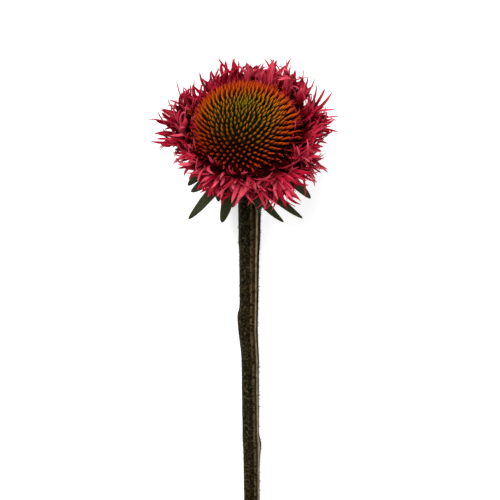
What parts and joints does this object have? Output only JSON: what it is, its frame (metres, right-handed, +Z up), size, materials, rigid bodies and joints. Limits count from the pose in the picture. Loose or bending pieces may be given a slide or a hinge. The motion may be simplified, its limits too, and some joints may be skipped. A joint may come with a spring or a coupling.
{
  "type": "coneflower seed head",
  "caption": "Coneflower head with a spiny dome, a ruff of split florets and narrow bracts, on its cut stem, lying on a surface.",
  "frame": {"origin": "on the surface it lies on, under the middle of the whole", "axes": "+Z up, +Y from the cut end of the stem towards the head, +X to the right in the picture"},
  "size_m": [0.0614, 0.166, 0.0486],
  "materials": {
    "stem_skin": "ridged matte skin",
    "bract_green": "matte leaf",
    "floret_pink": "matte petal",
    "spine_orange": "stiff satin chaff"
  },
  "bodies": {
    "root": {"stem": "stem_skin", "bracts": "bract_green", "ruff": "floret_pink", "cone": "spine_orange"}
  },
  "joints": []
}
